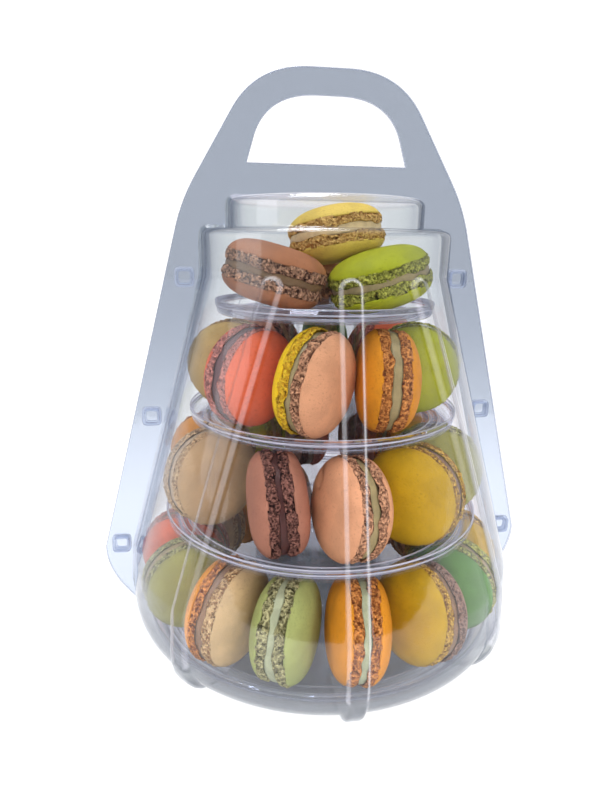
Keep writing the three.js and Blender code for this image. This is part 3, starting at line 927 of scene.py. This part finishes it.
def tray_profile(rim, floor, lip, top, column):
    """The middle of the sheet from the column's crown to the floor and out to the stacking ledge."""
    foot = column - TRAY_SHEET / 2
    corners = [(0, top, 0), (foot - COLUMN_DRAFT, top, COLUMN_ROUNDING), (foot, floor, COLUMN_ROUNDING)]
    for inset in RING_PLACES:
        for share, pressed in ((1, 0), (1 / 2, RING_PRESSED), (0, 0)):
            corners.append((rim - inset - RING_WIDTH * share, floor + pressed, RING_ROUNDING))
    edge = rim - TRAY_SHEET / 2
    fold = lip - LIP_FOLD
    corners += [(edge - LIP_LEDGE, floor, LIP_FOOT_ROUNDING), (edge - LIP_LEDGE, fold, LIP_ROUNDING)]
    corners += [(edge, fold, LIP_ROUNDING), (edge, lip - TRAY_SHEET / 2, 0)]
    return rounded(corners, TRAY_STEP)


print("rings pressed", in_mm(RING_PLACES), "mm from the rim")

# %% Trays
FLUTES = 20
FLUTE_DEPTH = 0.5 * MM
FLUTE_FOOT = (2 * MM, 6 * MM)
BEAD_RADIUS = 0.4 * MM
BEAD_AROUND = 6


def bead(radius, height):
    """A fine round bead along a tray's edge or a pressed ring."""
    angle = round_angles(BEAD_AROUND)
    return rings(radius + BEAD_RADIUS * np.cos(angle), height + BEAD_RADIUS * np.sin(angle), TRAY_AROUND)


def tray(name):
    node = f"tray_{name}"
    low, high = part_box(node)
    column = COLUMNS[name]
    floor = low.z + SOLID_SHEET / 2
    lip = low.z + SOLID_SHEET + LIP_HEIGHT
    profile = tray_profile(high.x, floor, lip, high.z - TRAY_SHEET / 2, column)
    across = profile_normals(profile) * TRAY_SHEET / 2
    brim = profile[-1] + np.array([0, TRAY_SHEET / 2])
    loop = np.concatenate([profile - across, [brim], (profile + across)[::-1]])
    radii, heights = np.maximum(loop[:, 0], 0), loop[:, 1]
    on_column = (radii > column / 2) & (radii < column + MM)
    flutes = FLUTE_DEPTH * soft_step(heights - floor, *FLUTE_FOOT) * on_column
    fluted = radii[:, None] + flutes[:, None] * np.cos(FLUTES * round_angles(TRAY_AROUND))
    mould = Mould()
    mould.skin(rings(fluted, heights, TRAY_AROUND))
    crests = [(high.x - BEAD_RADIUS, lip - BEAD_RADIUS), (high.x - BEAD_RADIUS, lip - LIP_FOLD)]
    crests += [(high.x - inset - RING_WIDTH / 2, floor + RING_PRESSED) for inset in RING_PLACES]
    for crest in crests:
        mould.skin(bead(*crest), 1, round_ends=True)
    edge = low_edge_highlight_plastic if name == "low" else edge_highlight_plastic
    piece = mould.cast(f"clear_tray_{name}", [tray_plastic, edge])
    settle(piece, node)
    return piece


trays = [tray(name) for name in COLUMNS]
print("trays", in_mm(piece.dimensions.x for piece in trays), "mm across")

# %% [markdown]
# ## The carrier's walls
# Half a carrier is half a turned sheet with three channels drawn outwards in it, which stiffen the wall
# and run on under the floor as feet. The outer two lean inwards on their way up. The channels are cut
# into the grid itself: columns of points run along each channel's edges whatever the radius, and each
# point is pushed out by how far it lies inside the channel's round-topped outline. Near the seam the
# wall flares into the flange in a small curve, as drawn sheet does. The inner face is the same grid one
# sheet further in, so the channel is hollow.

# %% Carrier profile and channels
SHEET = 0.7 * MM
SEAM = 0.15 * MM
FLOOR_HEIGHT = 2.4 * MM
BASE_RADIUS, BASE_FILLET = 88.2 * MM, 22 * MM
CONE_FOOT, CONE_ROUNDING = (87.2 * MM, 42 * MM), 6 * MM
HEAD_RADIUS, HEAD_FOOT, HEAD_TOP = 53.2 * MM, 167 * MM, 186 * MM
CAP_RADIUS, CAP_TOP = 41.7 * MM, 198.5 * MM
NECK_ROUNDING, TOP_ROUNDING, STEP_ROUNDING = 4 * MM, 3 * MM, 1.6 * MM
ROW_STEP, ARCH_STEP = 5 * MM, 0.4 * MM
RIB_DEPTH, RIB_WIDTH = 2.4 * MM, 8.7 * MM
RIBS = np.radians([(-47, -31), (0, 0), (47, 31)])
RIB_INNER = 50 * MM
RIB_TOP = 168.5 * MM
RIB_SPRINGING = RIB_TOP - RIB_WIDTH / 2
RIB_BLEND = (-0.55 * MM, 1.65 * MM)


def wall_profile():
    """The outside of the body, with close rows where the channels' round tops are."""
    corners = [
        (0, FLOOR_HEIGHT, 0),
        (RIB_INNER, FLOOR_HEIGHT, 0),
        (BASE_RADIUS, FLOOR_HEIGHT, BASE_FILLET),
        (BASE_RADIUS, FLOOR_HEIGHT + BASE_FILLET + MM, 0),
        (*CONE_FOOT, CONE_ROUNDING),
        (HEAD_RADIUS, HEAD_FOOT, NECK_ROUNDING),
        (HEAD_RADIUS, HEAD_TOP, TOP_ROUNDING),
        (CAP_RADIUS, HEAD_TOP, STEP_ROUNDING),
        (CAP_RADIUS, CAP_TOP, TOP_ROUNDING),
        (0, CAP_TOP, 0),
    ]
    profile = rounded(corners, ROW_STEP)
    fine = [profile[0]]
    for start, end in zip(profile, profile[1:]):
        by_arch = end[1] > RIB_SPRINGING and start[1] < RIB_TOP + ARCH_STEP
        steps = math.ceil(np.linalg.norm(end - start) / ARCH_STEP) if by_arch else 1
        fine.extend(start + (end - start) * step / steps for step in range(1, steps + 1))
    return np.array(fine)


def rib_course(rib, height):
    """The direction that a channel faces, and how far aside of it its middle runs at a height."""
    foot, top = rib
    facing = (foot + top) / 2
    low = CONE_FOOT[0] * math.sin(foot - facing)
    high = HEAD_RADIUS * math.sin(top - facing)
    share = np.clip((height - CONE_FOOT[1]) / (RIB_SPRINGING - CONE_FOOT[1]), 0, 1)
    return facing, low + (high - low) * share


def rib_swell(radius, height, angles):
    """How far each point of one row is pushed out by the channels."""
    swell = np.zeros_like(angles)
    above = max(height - RIB_SPRINGING, 0)
    behind = radius < RIB_INNER and height < FLOOR_HEIGHT + MM
    if behind or height > RIB_TOP + MM:
        return swell
    for rib in RIBS:
        facing, aside = rib_course(rib, height)
        outside = np.hypot(radius * np.sin(angles - facing) - aside, above) - RIB_WIDTH / 2
        near = np.abs(angles - facing) < math.pi / 4
        swell = np.maximum(swell, RIB_DEPTH * soft_step(-outside, *RIB_BLEND) * near)
    return swell


print("wall profile of", len(wall_profile()), "points")

# %% Carrier wall
RIB_HALF_TRACKS = np.array([0.75, 1.5, 2.3, 3.05, 3.48, 3.92, 4.35, 5.0, 6.0]) * MM
RIB_TRACKS = np.concatenate([-RIB_HALF_TRACKS[::-1], [0], RIB_HALF_TRACKS])
BETWEEN_RIBS = 14
STEEP = 0.2
FOLD_FOOT = 20 * MM
TIGHTEST_TURN = 30 * MM
FLARE = 1.6 * MM
FLARE_TRACKS = np.array([0, 0.2, 0.5, 0.9, 1.6]) * MM
FLARE_FOOT = (12 * MM, 18 * MM)


def wall_angles(radius, height):
    """Angles round half the wall, from seam to seam, with tracks along the flares and channels."""
    reach = max(radius, TIGHTEST_TURN)
    flare = math.pi / 2 - np.arcsin((SEAM + SHEET + FLARE_TRACKS[::-1]) / reach)
    groups = [-flare[::-1]]
    for rib in RIBS:
        facing, aside = rib_course(rib, height)
        groups.append(facing + np.arcsin((aside + RIB_TRACKS) / reach))
    groups.append(flare)
    angles = [[-math.pi / 2], groups[0]]
    for before, after in zip(groups, groups[1:]):
        angles += [np.linspace(before[-1], after[0], BETWEEN_RIBS + 1)[1:-1], after]
    return np.concatenate([*angles, [math.pi / 2]])


def seam_flare(radius, height, angles):
    """How far each point of one row is pushed out where the wall bends into the flange."""
    share = np.clip((radius * np.cos(angles) - SEAM - SHEET) / FLARE, 0, 1)
    return FLARE * (1 - np.sqrt(1 - (1 - share) ** 2)) * soft_step(height, *FLARE_FOOT)


def wall_rows(inset):
    """Rows of the front half's wall, as far in from the outside as given, and how far ribs push them."""
    profile = wall_profile()
    rows, swells = [], []
    for (radius, height), normal in zip(profile, profile_normals(profile)):
        angles = wall_angles(radius, height)
        swells.append(rib_swell(radius, height, angles))
        push = swells[-1] + seam_flare(radius, height, angles) - inset
        out = np.maximum(radius + push * normal[0], 0)
        turned = [out * np.sin(angles), -out * np.cos(angles), height + push * normal[1]]
        rows.append(np.stack(turned, axis=-1))
    rows = np.array(rows)
    rows[..., 1] = np.minimum(rows[..., 1], -SEAM)
    return rows, np.array(swells)


def steep(swells):
    """Where the wall's faces are the sides of a channel: their corners are pushed out unequally."""
    corners = np.stack([swells[:-1, :-1], swells[:-1, 1:], swells[1:, :-1], swells[1:, 1:]])
    return np.ptp(corners, axis=0) > STEEP * RIB_DEPTH


def wall(mould, half_turn, clear, fold):
    """The wall of one half: outside and inside in one skin that closes round both seams."""
    outside, swells = wall_rows(0)
    inside = wall_rows(SHEET)[0]
    rows = np.concatenate([outside, inside[:, ::-1]], axis=1)
    sides = steep(np.concatenate([swells, swells[:, ::-1], swells[:, :1]], axis=1))
    heights = wall_profile()[:-1, 1:]
    # The channels' sides above FOLD_FOOT and the cap's top take the fold finish, a painted highlight with a
    # painted glow.
    finish = np.where(sides & (heights > FOLD_FOOT) | (heights > CAP_TOP - SHEET), fold, clear)
    mould.skin(rows @ half_turn.T, finish)


print("wall of", wall_rows(0)[0].shape[:2], "points")

# %% [markdown]
# ## The flange, handle and snap buttons
# Both halves end in a flat flange that rises into the handle. A flat shape with holes is what Blender's
# 2D curves are for: one closed spline runs up the outside, over the handle and back along the body, the
# handle's hole and the seats of the buttons are splines of their own, and the fill leaves them open. A
# small bevel rounds the cut edge, where clear sheet shows its colour. The buttons are hollow and stand
# forward in both halves, so those of the back half are narrower and nest in those of the front.

# %% Flange outline
CURVE_STEPS = 14
FLANGE_SIDE = [
    [(87, 12), (101.8, 27), (101.2, 41.5)],
    [(64, 187), (61, 198), (54.9, 208)],
    [(40.1, 233), (30, 250), (8, 250)],
]
HOLE_SIDE = [[(34, 212.7)], [(30.8, 223.5), (25.5, 239.3), (5, 239.3)]]


def bend(points):
    """Points along one bend of an outline, given by its start, its corner and its end."""
    if len(points) < 3:
        return np.array(points, float) * MM
    start, corner, end = np.array(points, float) * MM
    share = np.linspace(0, 1, CURVE_STEPS + 1)[:, None]
    return (1 - share) ** 2 * start + 2 * share * (1 - share) * corner + share**2 * end


def mirrored(side):
    """A closed outline from its right side, which runs upwards."""
    right = np.concatenate([bend(points) for points in side])
    return np.concatenate([right, right[::-1] * np.array([-1, 1])])


def flange_outline():
    """The flange in one closed outline: up its outside and over the handle, then back along the body."""
    outside = mirrored(FLANGE_SIDE)
    profile = wall_profile()
    body = profile - profile_normals(profile) * SHEET / 2
    right = body[body[:, 1] > outside[0, 1]]
    return np.concatenate([outside, right * np.array([-1, 1]), right[-2::-1]])


print("flange outline of", len(flange_outline()), "points")

# %% Snap buttons
BUTTON_WIDTH, BUTTON_HEIGHT = 8.4 * MM, 3.0 * MM
BUTTON_PLACES = [(60.9, 165.9), (77.3, 104.6), (93.8, 43)]
BUTTON_SPOTS = [np.array([side * x, z]) * MM for side in (-1, 1) for x, z in BUTTON_PLACES]
BUTTON_SQUARENESS = 5.0
BUTTON_AROUND = 40
BUTTON_SHARES = (1.0, 0.99, 0.975, 0.955, 0.9, 0.8, 0.0)
BUTTON_LEVELS = (0, 0.15, 0.6, 0.82, 0.94, 1.0, 1.0)


def button_outline(width):
    """A square with round corners about the origin."""
    angle = round_angles(BUTTON_AROUND)
    circle = np.stack([np.cos(angle), np.sin(angle)], axis=-1)
    reach = (np.abs(circle) ** BUTTON_SQUARENESS).sum(axis=-1) ** (-1 / BUTTON_SQUARENESS)
    return circle * reach[:, None] * width / 2


def button_rows(width, height):
    """A hollow button's outer and inner skins, from its rim to its crown and back, standing along Z."""
    outer = []
    for share, level in zip(BUTTON_SHARES, BUTTON_LEVELS):
        outer.append(np.insert(button_outline(width * share), 2, height * level, axis=1))
    outer = np.array(outer)
    inner = outer.copy()
    inner[..., :2] *= 1 - 2 * SHEET / width
    inner[..., 2] -= SHEET
    inner[0, :, 2] = 0
    return np.concatenate([outer, inner[::-1]])


print(len(BUTTON_SPOTS), "buttons on each half")

# %% Flange mesh
EDGE_BEVEL = 0.3 * MM
EDGE_INSET = 0.32 * MM
FACE_UPRIGHT = 0.95


def flange_mesh(button_width):
    """A filled flat curve of the flange, turned into a mesh that lies in the XY plane."""
    flat = bpy.data.curves.new("flange", "CURVE")
    flat.dimensions = "2D"
    flat.fill_mode = "BOTH"
    flat.extrude = SHEET / 2 - EDGE_BEVEL
    flat.bevel_depth = EDGE_BEVEL
    flat.bevel_resolution = 2
    flat.offset = -EDGE_INSET
    outlines = [flange_outline(), mirrored(HOLE_SIDE)]
    outlines += [button_outline(button_width) + spot for spot in BUTTON_SPOTS]
    for outline in outlines:
        spline = flat.splines.new("POLY")
        spline.points.add(len(outline) - 1)
        for point, (x, z) in zip(spline.points, outline):
            point.co = (x, z, 0, 1)
        spline.use_cyclic_u = True
    holder = bpy.data.objects.new("flange", flat)
    scene.collection.objects.link(holder)
    evaluated = holder.evaluated_get(bpy.context.evaluated_depsgraph_get())
    mesh = bpy.data.meshes.new_from_object(evaluated)
    bpy.data.objects.remove(holder)
    bpy.data.curves.remove(flat)
    return mesh


def add_mesh(mould, mesh, place, face, edge):
    """Adds a mesh from a flat curve, stood up in the XZ plane, with finishes for faces and edges."""
    flat = np.array([vertex.co for vertex in mesh.vertices])
    points = np.column_stack([flat[:, 0], place - flat[:, 2], flat[:, 1]])
    start = sum(len(part) for part in mould.points)
    mould.faces.extend([start + index for index in polygon.vertices] for polygon in mesh.polygons)
    upright = np.array([abs(polygon.normal.z) for polygon in mesh.polygons])
    mould.finishes.append(np.where(upright > FACE_UPRIGHT, face, edge))
    mould.points.append(points)
    mould.crags.append(np.ones(len(points)))


print("flange edges rounded by", in_mm([EDGE_BEVEL])[0], "mm")

# %% Carrier halves
FRONT = np.eye(3)
BACK = np.diag([-1, -1, 1])
NEST = SHEET + 2 * SEAM
CROWN_ROWS = 2
WALL, FACE, CROWN, FOLD, CUT, SNAP = range(6)
finishes = [wall_plastic, flange_plastic, flange_plastic, fold_highlight_plastic, cut_plastic, snap_plastic]


def carrier(name, half_turn, button_width):
    mould = Mould()
    wall(mould, half_turn, WALL, FOLD)
    depth = half_turn[1, 1] * -(SEAM + SHEET / 2)
    add_mesh(mould, flange_mesh(button_width), depth, FACE, CUT)
    rows = button_rows(button_width, BUTTON_HEIGHT - SHEET / 2)
    crown = np.abs(np.arange(len(rows)) - len(rows) / 2 + 0.5) < CROWN_ROWS
    for x, z in BUTTON_SPOTS:
        upright = np.stack([rows[..., 0] + x, depth - rows[..., 2], rows[..., 1] + z], axis=-1)
        mould.skin(upright, np.where(crown, CROWN, SNAP)[:, None], round_ends=True)
    piece = mould.cast(f"clear_{name}", finishes, flat=FACE)
    settle(piece, name)
    return piece


front = carrier("carrier_front", FRONT, BUTTON_WIDTH)
back = carrier("carrier_back", BACK, BUTTON_WIDTH - 2 * NEST)
print("carrier halves", in_mm(front.dimensions), "and", in_mm(back.dimensions), "mm")

# %% [markdown]
# ## Sizes
# The box of the finished pieces is printed, as the box of the solids was at the start.

# %% Sizes and finish
bpy.context.view_layer.update()
new_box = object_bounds()
print("visual box in mm:", [in_mm(corner) for corner in new_box])
